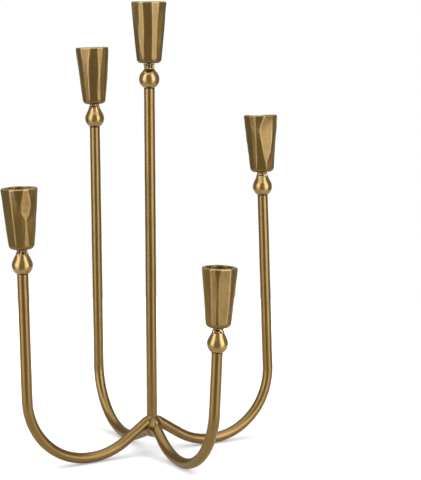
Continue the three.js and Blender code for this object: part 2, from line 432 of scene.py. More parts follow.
BRASSES = (
    BrassFinish(
        "tube_brass", Grain.DRAWN, body=(0.208, 0.127, 0.036), shade=(0.17, 0.1, 0.026),
        worn_and_glint=(0.33, 0.22, 0.09), roughness=(0.3, 0.4),
    ),
    BrassFinish(
        "cup_brass", Grain.CAST, body=(0.184, 0.113, 0.032), shade=(0.15, 0.088, 0.023),
        worn_and_glint=(0.38, 0.27, 0.13), roughness=(0.4, 0.5), lacquer=0.42,
    ),
    BrassFinish(
        "collar_brass", Grain.TURNED, body=(0.365, 0.243, 0.095), shade=(0.18, 0.11, 0.035),
        worn_and_glint=(0.7, 0.56, 0.32), roughness=(0.22, 0.3),
    ),
)


# ---- tubes ----


@dataclass(frozen=True)
class Route:
    """A centre line: places and directions from the hub to the tube's end.

    Attributes:
        points: n x 3, in millimetres.
        directions: n x 3, of length one.
        aside: n x 3, the tube's own y, square to the direction.
        bending: n values, 0 on a straight run and 1 in a bend.
    """

    points: Array
    directions: Array
    aside: Array
    bending: Array

    def end_axes(self) -> Axes:
        """Axes at the tube's end, z running on along the tube."""
        return Axes.standing(self.points[-1], self.directions[-1])


@dataclass(frozen=True)
class Arm:
    """One J-shaped arm. It runs out and down from the hub, round a bend that it stands on, and straight up.

    Attributes:
        side: where it stands.
        turn: azimuth of its half of the cross.
        reach: from the stem's axis to the riser's, at the end of the bend's foot.
        bend: radius of the outer bend.
        top: height of the tube's end.
        swing: added to turn.
        lean_in: how far past upright the bend goes.
        lean_aside: the riser's lean along the tangent.
        hub_height: where the arms' axes meet the stem's.
        foot_flat: straight length between the two bends.
        radius: of the tube.
        sections: how many there are on the run from the hub, the inner bend, the outer bend and the riser.
    """

    side: str
    turn: float
    reach: float
    bend: float
    top: float
    swing: float
    lean_in: float
    lean_aside: float
    hub_height: float = 34.2
    foot_flat: float = 2.4
    radius: float = 5.0
    sections: tuple[int, int, int, int] = (48, 26, 64, 90)

    def route(self) -> Route:
        """Centre line in the part's frame.

        In the arm's own frame, x outwards and z up, it is a straight run tangent to the inner bend, that
        bend down to the foot, the foot's flat, the outer bend, and the riser. A bend's point at angle a is
        (centre + R sin a, radius + R (1 - cos a)), and its direction (cos a, sin a). Past the foot the arm
        leans aside by the tangent of its lean times its height above the foot.

        Returns:
            The route, with a section about every one and a half millimetres.
        """
        on_run, on_inner, on_outer, on_riser = self.sections
        outer = self.reach - self.bend
        inner = outer - self.foot_flat
        below = self.bend - (self.hub_height - self.radius)
        slope = math.asin(self.bend / math.hypot(inner, below)) - math.atan2(below, inner)
        last = math.pi / 2 + math.radians(self.lean_in)
        run = np.linspace(0.0, (inner - self.bend * math.sin(slope)) / math.cos(slope), on_run)[:-1]
        first = np.linspace(-slope, 0.0, on_inner)
        second = np.linspace(0.0, last, on_outer)
        end_height = self.radius + self.bend * (1.0 - math.cos(last))
        rise = np.linspace(0.0, (self.top - end_height) / math.sin(last), on_riser)[1:]
        x = np.concatenate([
            run * math.cos(slope), inner + self.bend * np.sin(first), outer + self.bend * np.sin(second),
            outer + self.bend * math.sin(last) + rise * math.cos(last),
        ])
        z = np.concatenate([
            self.hub_height - run * math.sin(slope), self.radius + self.bend * (1.0 - np.cos(first)),
            self.radius + self.bend * (1.0 - np.cos(second)), end_height + rise * math.sin(last),
        ])
        angle = np.concatenate([np.full(len(run), -slope), first, second, np.full(len(rise), last)])
        bent = np.concatenate([np.zeros(len(run)), np.ones(len(first) + len(second)), np.zeros(len(rise))])
        lean = math.tan(math.radians(self.lean_aside)) * (x > outer - 1e-9)
        local = np.stack([x, lean * (z - self.radius), z], -1)
        headed = unit(np.stack([np.cos(angle), lean * np.sin(angle), np.sin(angle)], -1))
        turn = math.radians(self.turn + self.swing)
        spin = np.array([
            [math.cos(turn), math.sin(turn), 0.0], [-math.sin(turn), math.cos(turn), 0.0], [0.0, 0.0, 1.0],
        ])
        directions = headed @ spin
        sideways = np.array([0.0, 1.0, 0.0]) @ spin
        aside = unit(sideways - (directions @ sideways)[:, None] * directions)
        return Route(local @ spin, directions, aside, soften_run(bent, 3))


def soften_run(values: Array, passes: int) -> Array:
    """Values along a run, each replaced by the mean of itself and its two neighbours, several times."""
    for _ in range(passes):
        padded = np.concatenate([values[:1], values, values[-1:]])
        values = (padded[:-2] + padded[1:-1] + padded[2:]) / 3.0
    return values


@dataclass(frozen=True)
class Cope:
    """How a tube's first end is cut and squeezed to fit against the hub.

    Attributes:
        start: distance from the stem's axis at which the end begins; 0 leaves it square, as on the stem.
        pinch: radius lost at the end.
        pinch_reach: length over which the tube regains it.
        shift_reach: length of the straight run that the cut's shift fades over.
    """

    start: float = 0.0
    pinch: float = 0.0
    pinch_reach: float = 3.0
    shift_reach: float = 20.0


@dataclass(frozen=True)
class BentTube:
    """Brass tube along a route, as drawn stock is when bent by hand over a former.

    Attributes:
        name: the piece's name.
        radius: outside.
        wall: thickness.
        flattening: share of the radius lost across a bend, and gained along it.
        dents: depth of the hand's unevenness.
        columns: points round the section.
        seed: of the unevenness.
        cope: of the first end.
        bore_every: the bore has one ring to this many of the outside's.
        seam_shade_fade: length over which the painted shade at the weld's seam fades.
    """

    name: str
    radius: float = 5.0
    wall: float = 1.2
    flattening: float = 0.022
    dents: float = 0.05
    columns: int = 56
    seed: int = 1
    cope: Cope = Cope()
    bore_every: int = 4
    seam_shade_fade: float = 0.7

    def end_shift(self, route: Route, spokes: Array) -> Array:
        """How far each column's first point lies along the tube, for the end to fit against the hub.

        A column with offset y from the arm's upright plane begins where its distance x from the stem's axis
        is the greater of sqrt(start^2 - y^2), the hub's round side, and |y|, the mitre to the next arm.

        Args:
            route: the centre line, straight at its start.
            spokes: columns x 3, from the centre line to the surface.

        Returns:
            One length for each column; zeros on the stem.
        """
        start = self.cope.start
        if not start:
            return np.zeros(len(spokes))
        level = math.hypot(*route.directions[0, :2])
        heading = np.array([*route.directions[0, :2], 0.0]) / level
        y = spokes @ route.aside[0]
        begin = np.maximum(np.sqrt(np.maximum(start ** 2 - y ** 2, 0.0)), np.abs(y))
        return (begin - spokes @ heading) / level

    def travelled(self, route: Route) -> Array:
        """Length of the centre line up to each of its points."""
        steps = np.linalg.norm(np.diff(route.points, axis=0), axis=1)
        return np.concatenate([[0.0], np.cumsum(steps)])

    def rings(self, route: Route, radius: float, dents: float) -> Array:
        """Rings of points round a route.

        The point at angle a is centre + r (cos a inwards + sin a aside), with r = radius less the
        flattening times cos 2a in a bend, plus the dents. Over the straight run from the hub the rings are
        shifted along the tube to follow the cope.

        Args:
            route: the centre line.
            radius: of the tube's surface.
            dents: depth of the unevenness.

        Returns:
            Rows x columns x 3.
        """
        angle = round_angles(self.columns)[None, :, None]
        outward = np.cross(route.aside, route.directions)
        spokes = np.cos(angle) * outward[:, None] + np.sin(angle) * route.aside[:, None]
        oval = 1.0 - self.flattening * route.bending[:, None, None] * np.cos(2.0 * angle)
        shift = self.end_shift(route, radius * spokes[0])
        along = self.travelled(route)
        fade = np.clip(1.0 - along / self.cope.shift_reach, 0.0, 1.0)
        past = along * (1.0 - fade * shift.mean() / self.cope.shift_reach)
        lost = self.cope.pinch * np.clip(1.0 - past / self.cope.pinch_reach, 0.0, 1.0) ** 2
        points = route.points[:, None] + (radius - lost)[:, None, None] * oval * spokes
        points = points + (fade[:, None] * shift)[..., None] * route.directions[0]
        return points + dents * wander(points, 26.0, self.seed)[..., None] * spokes

    def build(self, route: Route) -> bpy.types.Object:
        """The tube as a piece with a bore: out along its outside and back along its bore."""
        outside = self.rings(route, self.radius, self.dents)
        count = len(outside)
        kept = np.unique(np.append(np.arange(0, count, self.bore_every), count - 1))[::-1]
        bore = self.rings(route, self.radius - self.wall, 0.0)[kept]
        points = np.concatenate([outside, bore])
        gone = np.linalg.norm(outside - outside[:1], axis=-1)
        wear_and_glint = np.zeros(points.shape[:2])
        # Painted shade: dark at the tube's first end, where it meets the hub, fading along the tube.
        painted_shade = np.concatenate([np.exp(-gone / self.seam_shade_fade), np.zeros(bore.shape[:2])])
        return Skin(points, True, {"wear_and_glint": wear_and_glint, "painted_shade": painted_shade}).piece(self.name)


# ---- hub ----


@dataclass(frozen=True)
class Stub:
    """Weld metal that carries the slug's surface onto an arm's end, as a tapered round bar.

    Attributes:
        start: height at which its axis leaves the stem's.
        reach: length of the arm's centre line up to its end; not used where the end is given otherwise.
        near: radius at the stem's axis.
        far: radius at its end.
        blend: size of the fillet to its neighbours.
    """

    start: float
    reach: float
    near: float
    far: float
    blend: float

    def distance(self, points: Array, end: Array) -> Array:
        """Distance from the bar's surface: |p - nearest point of the axis| less the radius there."""
        first = np.array([0.0, 0.0, self.start])
        axis = end - first
        share = np.clip((points - first) @ axis / (axis @ axis), 0.0, 1.0)
        away = np.linalg.norm(points - first - share[..., None] * axis, axis=-1)
        return away - (self.near + (self.far - self.near) * share)


@dataclass(frozen=True)
class Hub:
    """Solid slug under the stem, and the weld that runs from it onto the four arms.

    Its surface is found along rays from its middle, as the first place where a smooth union of round bars
    ends: the upright slug, a boss on its front, a keel under the front arm, and one stub for each arm.

    Attributes:
        radius: of the slug.
        low: height at which the slug's round bottom is centred.
        high: height at which its round top is, inside the stem's tube.
        seam: height of the seam to the stem's tube.
        middle: height that the rays start from.
        boss_out: from the stem's axis to the boss's.
        boss_radius: of the boss.
        boss_low: lower end of the boss's axis.
        boss_high: upper end of it.
        boss_blend: size of its fillet.
        keel: the bar from the slug's bottom to under the front arm.
        keel_out: how far out the keel's tip is.
        keel_tip: height of the keel's tip.
        ripple: depth of the weld's unevenness.
        ray_length: how far along a ray the surface is looked for.
        ray_steps: how many places are tried on it.
        pole: how near the first and last rows come to upright.
        rows: from the underside to the top.
        columns: round the hub.
        stubs: one for each arm, in the order in which they are joined.
    """

    radius: float = 4.86
    low: float = 20.5
    high: float = 31.6
    seam: float = 33.0
    middle: float = 27.0
    boss_out: float = 6.9
    boss_radius: float = 3.4
    boss_low: float = 25.2
    boss_high: float = 30.2
    boss_blend: float = 4.4
    keel: Stub = Stub(20.5, 0.0, 4.7, 3.6, 3.0)
    keel_out: float = 8.0
    keel_tip: float = 19.4
    ripple: float = 0.06
    ray_length: float = 27.0
    ray_steps: int = 209
    pole: float = 89.7
    rows: int = 150
    columns: int = 240
    stubs: tuple[tuple[str, Stub], ...] = (
        ("left", Stub(33.3, 13.0, 5.1, 4.9, 2.4)),
        ("front", Stub(27.0, 15.0, 4.8, 4.8, 3.0)),
        ("right", Stub(33.6, 10.0, 3.7, 3.7, 0.5)),
        ("back", Stub(22.6, 13.0, 5.1, 4.9, 3.0)),
    )

    def bar(self, points: Array, x: float, y: float, low: float, high: float, radius: float) -> Array:
        """Distance from an upright round-ended bar."""
        height = np.clip(points[..., 2], low, high)
        return np.sqrt((points[..., 0] - x) ** 2 + (points[..., 1] - y) ** 2
                       + (points[..., 2] - height) ** 2) - radius

    def union(self, first: Array, second: Array, size: float) -> Array:
        """Two distances joined by a fillet: min(a, b) - h^2 k / 4, with h = max(k - |a - b|, 0) / k."""
        held = np.maximum(size - np.abs(first - second), 0.0) / size
        return np.minimum(first, second) - held * held * size / 4.0

    def distance(self, points: Array, routes: dict[str, Route]) -> tuple[Array, Array]:
        """Distance from the union, and how near a place is to the line where an arm's stub meets the rest.

        The front arm's stub grows out of the boss, without such a line.

        Args:
            points: places, with x, y, z on the last axis.
            routes: the arms' centre lines.

        Returns:
            The distances, and the creases between 0 and 1.
        """
        joined = self.bar(points, 0.0, 0.0, self.low, self.high, self.radius)
        out = unit(routes["front"].directions[0, :2]) * self.boss_out
        boss = self.bar(points, out[0], out[1], self.boss_low, self.boss_high, self.boss_radius)
        joined = self.union(joined, boss, self.boss_blend)
        tip = np.array([*(out * self.keel_out / self.boss_out), self.keel_tip])
        joined = self.union(joined, self.keel.distance(points, tip), self.keel.blend)
        crease = np.zeros(points.shape[:-1])
        for side, stub in self.stubs:
            route = routes[side]
            apart = stub.distance(points, route.points[0] + stub.reach * route.directions[0])
            if side != "front":
                near = np.minimum(joined, apart) < 1.0
                crease = np.maximum(crease, np.exp(-np.abs(joined - apart) / 0.5) * near)
            joined = self.union(joined, apart, stub.blend)
        return joined, crease

    def build(self, routes: dict[str, Route]) -> bpy.types.Object:
        """The hub as one piece, its rows from the underside to the top."""
        fall = np.radians(np.linspace(-self.pole, self.pole, self.rows))[:, None]
        turn = round_angles(self.columns)[None, :]
        rays = np.stack(np.broadcast_arrays(
            np.cos(fall) * np.cos(turn), np.cos(fall) * np.sin(turn), np.sin(fall)), -1)
        middle = np.array([0.0, 0.0, self.middle])
        lengths = np.linspace(1.0, self.ray_length, self.ray_steps)
        values = np.stack([self.distance(middle + length * rays, routes)[0] for length in lengths])
        after = np.argmax(values > 0.0, axis=0)
        outer = np.take_along_axis(values, after[None], 0)[0]
        inner = np.take_along_axis(values, after[None] - 1, 0)[0]
        step = lengths[1] - lengths[0]
        found = lengths[after] - step * outer / np.maximum(outer - inner, 1e-9)
        points = middle + found[..., None] * rays
        _, crease = self.distance(points, routes)
        under = ease((self.seam - 0.4 - points[..., 2]) / 1.0)
        rough = wander(points, 2.6, 77, 12) - 1.2 * np.clip(wander(points, 1.7, 78, 12) - 1.0, 0.0, 1.0)
        points = points + (self.ripple * under * rough)[..., None] * rays
        # Painted shade: dark along the creases where the arms' stubs meet the slug, and along the seam under
        # the stem's tube.
        column = np.hypot(points[..., 0], points[..., 1]) < self.radius + 0.6
        seam = np.exp(-np.abs(points[..., 2] - self.seam) / 0.5) * column
        painted_shade = np.clip(crease + seam, 0.0, 1.2)
        wear_and_glint = 0.2 * np.clip(rough, 0.0, 1.0) * under * (1.0 - np.clip(crease, 0.0, 1.0))
        return Skin(points, False, {"wear_and_glint": wear_and_glint, "painted_shade": painted_shade}).piece("hub_weld")


# ---- collars ----


@dataclass(frozen=True)
class Collar:
    """Turned ball drawn up into a neck, with the scars of its braze under the cup.

    Attributes:
        side: where it stands.
        neck: length of the straight neck.
        flare: how far the neck opens under the cup.
        scar: height of the braze's lumps.
        seed: of the lumps.
        seam: gap to the tube's end.
        ball: radius of the ball.
        lip: radius of the flat underside.
        neck_radius: of the neck.
        height: of the whole collar.
        hole: radius of the screw's hole.
        edge: distance from each end's rim to the first row of its flat.
        flare_fade: length over which the neck's flare dies out.
        braze_below: how far below the top the braze is thickest.
        braze_spread: how far it reaches above and below that.
        unevenness: depth of the wide dents.
        columns: round the collar.
    """

    side: str
    neck: float = 1.5
    flare: float = 0.5
    scar: float = 0.5
    seed: int = 1
    seam: float = 0.3
    ball: float = 9.45
    lip: float = 5.4
    neck_radius: float = 4.3
    height: float = 22.0
    hole: float = 2.3
    edge: float = 0.25
    flare_fade: float = 1.3
    braze_below: float = 2.4
    braze_spread: float = 1.9
    unevenness: float = 0.05
    columns: int = 96

    def profile(self) -> tuple[Array, Array]:
        """Radius and height of the outside: ball, tangent shoulder and neck, softly joined."""
        centre = math.sqrt(self.ball ** 2 - self.lip ** 2)
        z = np.linspace(0.0, self.height, 111)
        rise = self.height - self.neck - centre
        distance = math.hypot(self.neck_radius, rise)
        touch = math.atan2(rise, self.neck_radius) - math.acos(min(1.0, self.ball / distance))
        from_z, from_r = centre + self.ball * math.sin(touch), self.ball * math.cos(touch)
        ball = np.sqrt(np.maximum(self.ball ** 2 - (z - centre) ** 2, 0.0))
        share = (z - from_z) / max(centre + rise - from_z, 1e-6)
        shoulder = from_r + (self.neck_radius - from_r) * np.clip(share, 0.0, 1.0)
        radius = np.where(z < from_z, ball, shoulder)
        radius = np.where(z < centre, radius, soften_run(radius, 14))
        return radius + self.flare * np.exp((z - self.height) / self.flare_fade), z

    def build(self, axes: Axes) -> bpy.types.Object:
        """The collar on its tube's end, bored through for the screw."""
        radius, z = self.profile()
        inner = np.linspace(self.hole, self.lip - self.edge, 5)
        top = np.linspace(radius[-1] - self.edge, self.hole, 5)
        down = np.linspace(self.height, 0.0, 12)[1:-1]
        radii = np.concatenate([inner, radius, top, np.full(len(down), self.hole)])
        heights = np.concatenate([np.zeros(len(inner)), z, np.full(len(top), self.height), down]) + self.seam
        angle = round_angles(self.columns)
        bare = axes.polar(radii[:, None], angle[None, :], heights[:, None])
        outside = np.zeros(len(radii))
        outside[len(inner):len(inner) + len(radius)] = 1.0
        above = heights - self.seam - self.height
        near_top = np.exp(-((above + self.braze_below) / self.braze_spread) ** 2) * outside
        lumps = 1.0 - 2.0 * np.abs(wander(bare, 4.2, self.seed, 10))
        lumps = np.clip(lumps, -0.9, 1.0) + 0.35 * wander(bare, 1.7, self.seed + 5, 10)
        uneven = self.unevenness * wander(bare, 9.0, self.seed + 9)
        swell = self.scar * near_top[:, None] * lumps + uneven * outside[:, None]
        points = axes.polar(radii[:, None] + swell, angle[None, :], heights[:, None])
        # Partly painted highlight: the braze's raised lumps are rubbed bright and are also coloured lighter
        # to stand for their glints.
        wear_and_glint = near_top[:, None] * np.clip(lumps, 0.0, 1.0) * 0.8
        # Painted shade: dark under the cup, at the gap to the tube's end and in the braze's sunken pits.
        crevice_shade = np.exp(above / 0.7) + np.exp(-(heights - self.seam) / 0.5)
        painted_shade = (crevice_shade * outside)[:, None] + near_top[:, None] * np.clip(-lumps, 0.0, 1.0) * 1.2
        painted_shade = np.clip(painted_shade, 0.0, 1.2)
        name = f"collar_ball_{self.side}"
        return Skin(points, True, {"wear_and_glint": wear_and_glint, "painted_shade": painted_shade}).piece(name)


# ---- cups ----


@dataclass(frozen=True)
class CandleCup:
    """Cast cup with hand-cut facets, bored for a taper candle.

    Facets run from the rim to a rounded bottom bevel. The edge between two facets is a ridge, given by its
    azimuth at levels evenly spaced from the rim down to the bevel, and measured from the front. Ridges lie
    near a cone, and a facet is the flat strip between two of them.

    Attributes:
        side: where it stands.
        height: of the whole cup.
        ridges: the front's hand-cut ridges, in order of azimuth.
        swells: how far a ridge stands out, in percent of the radius, by its number and at its levels.
        spare: how many ridges are spread over the back.
        front: azimuth that the ridges are measured from.
        seed: of the unevenness.
        scatter: spread of the back ridges' azimuths.
        cut: share of the radius by which ridges stand out unevenly.
        mouth: radius of the candle socket at the rim.
        seat: radius of the socket at its bottom.
        socket: depth of the socket.
        well: radius of the bore below it.
        floor: thickness of metal under the well.
        hole: radius of the screw's hole.
        rim_corner: radius of the ridges at the rim.
        waist_corner: radius of the ridges at the bevel.
        foot: radius of the flat underside.
        bevel: height of the rounded bottom.
        rim_round: radius of the rim's outer edge.
        mouth_round: radius of the socket's edge.
        dents: depth of the wide unevenness.
        filing: depth of the fine unevenness.
        streaks: depth of the upright streaks.
        sway: how far the rim rises and falls.
        columns: round the cup.
    """

    side: str
    height: float
    ridges: tuple[tuple[float, ...], ...]
    spare: int = 5
    front: float = 243.0
    seed: int = 1
    swells: tuple[tuple[int, tuple[float, ...]], ...] = ()
    scatter: float = 3.2
    cut: float = 0.008
    mouth: float = 11.5
    seat: float = 10.8
    socket: float = 26.0
    well: float = 6.0
    floor: float = 7.0
    hole: float = 2.3
    rim_corner: float = 16.1
    waist_corner: float = 11.95
    foot: float = 6.8
    bevel: float = 5.0
    rim_round: float = 1.5
    mouth_round: float = 0.8
    dents: float = 0.08
    filing: float = 0.012
    streaks: float = 0.02
    sway: float = 0.3
    columns: int = 300

    def ridge_azimuths(self, depth: Array) -> Array:
        """Azimuth of every ridge, in radians from the front, at each depth from 0 at the rim to 1."""
        draw = np.random.default_rng(self.seed)
        levels = np.linspace(0.0, 1.0, len(self.ridges[0]))
        front = np.array(self.ridges, float)
        last, first = front[-1], front[0] + 360.0
        share = (np.arange(self.spare) + 1.0)[:, None] / (self.spare + 1.0)
        back = last + (first - last) * share + draw.normal(0.0, self.scatter, (self.spare, len(levels)))
        every = np.concatenate([front, back])
        lines = np.stack([np.interp(depth, levels, ridge) for ridge in every])
        return np.radians(lines)

    def outline(self, depth: Array, corner: Array) -> Array:
        """Radius of the faceted outside.

        Between two neighbouring ridges at azimuths a and b, on corners of radius p and q, a facet is the
        chord r = p q sin(b - a) / (p sin(t - a) + q sin(b - t)) at azimuth t. The ring is then softened,
        which rounds the ridges.

        Args:
            depth: of each row, from 0 at the rim to 1 at the bevel.
            corner: radius of the ridges in each row.

        Returns:
            Rows x columns.
        """
        azimuths = self.ridge_azimuths(depth)
        count = len(azimuths)
        draw = np.random.default_rng(self.seed + 40)
        uneven = 1.0 + self.cut * np.stack([
            np.interp(depth, np.linspace(0.0, 1.0, 5), draw.normal(0.0, 1.0, 5)) for _ in range(count)
        ])
        for number, swell in self.swells:
            uneven[number] = 1.0 + 0.01 * np.interp(depth, np.linspace(0.0, 1.0, len(swell)), swell)
        radius = np.zeros((len(depth), self.columns))
        theta = round_angles(self.columns)[None, :] - math.radians(self.front)
        for k in range(count):
            a, b = azimuths[k][:, None], azimuths[(k + 1) % count][:, None]
            p, q = (corner * uneven[k])[:, None], (corner * uneven[(k + 1) % count])[:, None]
            width = np.maximum(np.mod(b - a, 2.0 * math.pi), 1e-3)
            past = np.mod(theta - a, 2.0 * math.pi)
            chord = p * q * np.sin(width) / (p * np.sin(past) + q * np.sin(width - past))
            radius = np.where(past < width, chord, radius)
        return soften(radius, 0.95)

    def outside(self) -> tuple[Array, Array, Array]:
        """Radius, height and rubbed-edge marks of the rows, with a painted highlight round the rim: from the
        foot by bevel and facets up and over the rim.
        """
        steps = np.linspace(0.0, 1.0, 14)[1:] * math.pi / 2
        waist = self.outline(np.ones(1), np.full(1, self.waist_corner))[0]
        bevel_radius = self.foot + (waist[None] - self.foot) * np.sin(steps)[:, None] ** 0.8
        bevel_height = self.bevel * (1.0 - np.cos(steps))[:, None] + 0.0 * waist[None]
        up = np.linspace(0.0, 1.0, 104)[1:]
        wall_top = self.height - self.rim_round
        heights = self.bevel + (wall_top - self.bevel) * up
        share = (heights - self.bevel) / (self.height - self.bevel)
        corner = self.waist_corner + (self.rim_corner - self.waist_corner) * share
        facets = self.outline(1.0 - share, corner)
        turn = np.linspace(0.0, math.pi / 2, 9)[1:, None]
        rim_radius = facets[-1][None] - self.rim_round * (1.0 - np.cos(turn))
        rim_height = wall_top + self.rim_round * np.sin(turn) + 0.0 * facets[-1][None]
        inward = np.linspace(0.0, 1.0, 4)[1:, None]
        land_radius = rim_radius[-1] + (self.mouth + self.mouth_round - rim_radius[-1]) * inward
        land_height = self.height + 0.0 * land_radius
        ridge = np.clip((facets - soften(facets, 5.0)) * 2.5, 0.0, 1.0)
        # Partly painted highlight: the rim and the flat land inside it are lightened all round, both as
        # rubbed metal and to stand for the rim's highlight.
        edge = np.concatenate([np.zeros(len(steps)), np.zeros(len(up)), np.full(8, 0.8), np.full(3, 0.5)])
        worn_and_glint = np.concatenate([np.zeros_like(bevel_radius), ridge, np.zeros((11, self.columns))])
        radius = np.concatenate([bevel_radius, facets, rim_radius, land_radius])
        height = np.concatenate([bevel_height, heights[:, None] + 0.0 * facets, rim_height, land_height])
        return radius, height, np.clip(worn_and_glint + edge[:, None], 0.0, 1.0)

    def inside(self) -> tuple[Array, Array]:
        """Radius and height of the rows down the socket, over the seat, down the well and out underneath."""
        turn = np.linspace(0.0, math.pi / 2, 6)
        mouth_r = self.mouth + self.mouth_round * (1.0 - np.sin(turn))
        mouth_z = self.height - self.mouth_round * (1.0 - np.cos(turn))
        seat_z = self.height - self.socket
        edge = 0.15
        bore_z = np.linspace(mouth_z[-1], seat_z, 16)[1:]
        bore_r = self.mouth + (self.seat - self.mouth) * (mouth_z[-1] - bore_z) / self.socket
        corners = [
            (self.seat - edge, seat_z), (self.well + edge, seat_z), (self.well, seat_z),
            (self.well, seat_z - edge), (self.well, self.floor + edge), (self.well, self.floor),
            (self.well - edge, self.floor), (self.hole + edge, self.floor), (self.hole, self.floor),
            (self.hole, self.floor - edge), (self.hole, edge), (self.hole, 0.0), (self.hole + edge, 0.0),
            (self.foot - edge, 0.0), (self.foot, 0.0),
        ]
        radii, heights = zip(*corners)
        radius = np.concatenate([mouth_r[1:], bore_r, radii])
        return radius, np.concatenate([mouth_z[1:], bore_z, heights])

    def build(self, axes: Axes) -> bpy.types.Object:
        """The cup with its foot at the axes' origin."""
        angle = round_angles(self.columns)[None, :]
        radius, height, wear_and_glint = self.outside()
        low = axes.polar(radius, angle, height)
        filed = self.dents * wander(low, 15.0, self.seed + 2)
        filed = filed + self.filing * wander(low, 4.0, self.seed + 3, 12)
        drawn_out = low * np.array([1.0, 1.0, 0.25])
        filed = filed + self.streaks * wander(drawn_out, 3.2, self.seed + 6, 14)
        rim = ease((height - 0.8 * self.height) / (0.2 * self.height))
        sway = self.sway * wander(axes.polar(14.0, angle, 0.0), 24.0, self.seed + 4) * rim
        outer = axes.polar(radius + filed, angle, height + sway)
        bore_radius, bore_height = self.inside()
        fade = ease((bore_height - 0.8 * self.height) / (0.2 * self.height))[:, None]
        bore = axes.polar(bore_radius[:, None], angle, bore_height[:, None] + sway[-1:] * fade)
        points = np.concatenate([outer, bore])
        # Painted shade: darker deep in the socket and well, and low on the bevel where the cup sits on its
        # collar.
        deep = 0.6 * ease((self.height - bore_height) / 9.0)
        shaded = np.concatenate([
            np.clip(1.0 - height / 3.0, 0.0, 1.0) ** 2, np.repeat(deep[:, None], self.columns, 1),
        ])
        worn_and_glint = np.concatenate([wear_and_glint, np.zeros_like(bore[..., 0])])
        return Skin(points, True, {"wear_and_glint": worn_and_glint, "painted_shade": shaded}).piece(f"faceted_cup_{self.side}")


@dataclass(frozen=True)
class CupScrew:
    """Socket-headed screw from the cup's floor down into the tube's end.

    Attributes:
        side: where it stands.
        radius: of the shank.
        length: of the shank.
        head: radius of the head.
        head_height: of the head.
        crown: radius of the head's upper edge.
        drive: width of the head's hexagon socket, across its flats.
        drive_depth: of that socket.
        tip: chamfer of the shank's end.
        columns: round the screw.
    """

    side: str
    radius: float = 2.0
    length: float = 40.0
    head: float = 4.0
    head_height: float = 2.6
    crown: float = 0.6
    drive: float = 2.5
    drive_depth: float = 1.6
    tip: float = 0.4
    columns: int = 72

    def build(self, axes: Axes) -> bpy.types.Object:
        """The screw with its head's seat at the axes' origin; the drive's wall is a hexagon by azimuth."""
        angle = round_angles(self.columns)[None, :]
        turn = np.linspace(0.0, math.pi / 2, 6)
        crown_r = self.head - self.crown * (1.0 - np.cos(turn))
        crown_z = self.head_height - self.crown * (1.0 - np.sin(turn))
        hexagon = self.drive / 2 / np.cos(np.mod(angle, math.pi / 3) - math.pi / 6)
        lathe_r = np.concatenate([[
            0.01, self.radius - self.tip, self.radius, self.radius, self.head - 0.2, self.head,
        ], crown_r])[:, None]
        lathe_z = np.concatenate([[
            -self.length, -self.length, -self.length + self.tip, 0.0, 0.0, 0.2,
        ], crown_z])[:, None]
        well_r = np.concatenate([hexagon + 0.2, hexagon, hexagon, hexagon * 0.01])
        depth = self.head_height - self.drive_depth
        well_z = np.array([self.head_height, self.head_height - 0.15, depth, depth - 0.3])[:, None]
        radius = np.concatenate([lathe_r + 0.0 * angle, well_r])
        height = np.concatenate([lathe_z, well_z]) + 0.0 * angle
        return Skin(axes.polar(radius, angle, height)).piece(f"socket_screw_{self.side}")


@dataclass(frozen=True)
class Station:
    """All that stands on a tube's end: collar, cup and screw.

    Attributes:
        collar: the ball under the cup.
        cup: the candle's cup.
        cup_base: height of the cup's foot above the tube's end.
        head_seat: height of the screw's head above the tube's end.
    """

    collar: Collar
    cup: CandleCup
    cup_base: float = 22.6
    head_seat: float = 29.9

    def build(self, end: Axes, finishes: dict[str, bpy.types.Material]) -> None:
        """Builds and dresses the three pieces.

        Args:
            end: axes at the tube's end.
            finishes: materials by the record's slot.
        """
        side = self.cup.side
        seats = {m["name"]: m["axis"] for m in frame["record"]["mounts"]}
        cup_axes = Axes.standing(end.origin + self.cup_base * end.along, seats[f"candle_seat_{side}"])
        screw_axes = Axes.standing(end.origin + self.head_seat * end.along, end.along)
        fit_piece(self.collar.build(end), finishes["collar_brass"], "collar_brass", f"collar_{side}")
        fit_piece(self.cup.build(cup_axes), finishes["cup_brass"], "cup_brass", f"candle_cup_{side}")
        screw = CupScrew(side).build(screw_axes)
        fit_piece(screw, finishes["fixing_steel"], "fixing_steel", f"cup_screw_{side}")


ARMS = (
    Arm("left", 180.0, 130.8, 64.2, 184.2, 3.3, -0.74, -0.45),
    Arm("front", 270.0, 118.0, 59.5, 118.4, -0.35, -0.36, 2.75, hub_height=31.2),
    Arm("right", 0.0, 130.8, 64.2, 240.8, -0.6, 0.42, 2.73),
    Arm("back", 90.0, 118.0, 59.5, 306.9, 0.15, -0.1, 0.2, hub_height=22.8),
)

COPES = {
    "left": Cope(7.5),
    "front": Cope(11.2, pinch=0.5, pinch_reach=6.0),
    "right": Cope(6.0, pinch=1.3, pinch_reach=4.0),
    "back": Cope(7.5),
}

